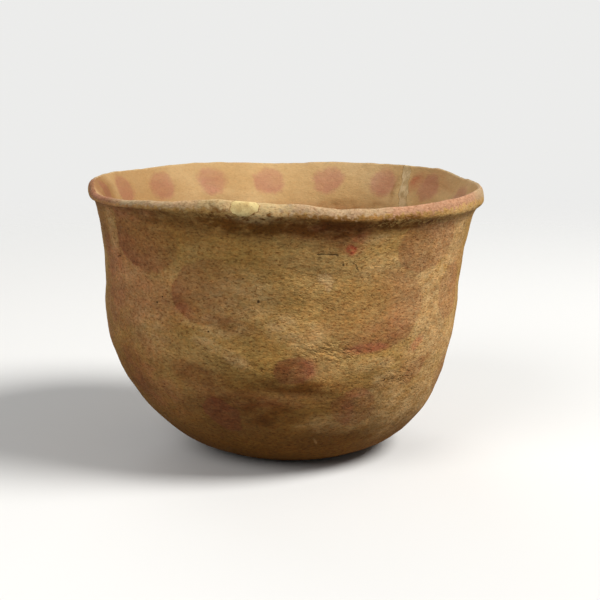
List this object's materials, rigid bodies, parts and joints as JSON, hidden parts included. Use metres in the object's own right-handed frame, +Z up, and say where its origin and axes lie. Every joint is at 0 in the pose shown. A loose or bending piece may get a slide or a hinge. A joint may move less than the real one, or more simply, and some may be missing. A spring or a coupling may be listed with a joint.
{
  "type": "pottery bowl",
  "caption": "Round-based, coil-built earthenware bowl with a gently flared wall, a short out-turned lip and painted round dots",
  "frame": {"origin": "centre of the flat foot that the bowl rests on", "axes": "+Z up; -Y towards the viewer of the picture, +X to the viewer's right"},
  "size_m": [0.1508, 0.1508, 0.1048],
  "materials": {
    "base_clay": "fired earthenware, brown at the foot, matt",
    "wall_clay": "tan ochre slip on earthenware with painted dusky-red dots, matt, brushed",
    "lip_clay": "worn pinkish tan slip on earthenware, matt",
    "crack_filler": "buff filler, matt",
    "chip_filler": "pale yellow filler, matt"
  },
  "bodies": {
    "root": {"pinched_base": "base_clay", "wall_coil_1": "wall_clay", "wall_coil_2": "wall_clay", "wall_coil_3": "wall_clay", "wall_coil_4": "wall_clay", "wall_coil_5": "wall_clay", "wall_coil_6": "wall_clay", "rim_coil": "lip_clay", "crack_fill": "crack_filler", "lip_chip_fill": "chip_filler"}
  },
  "joints": []
}
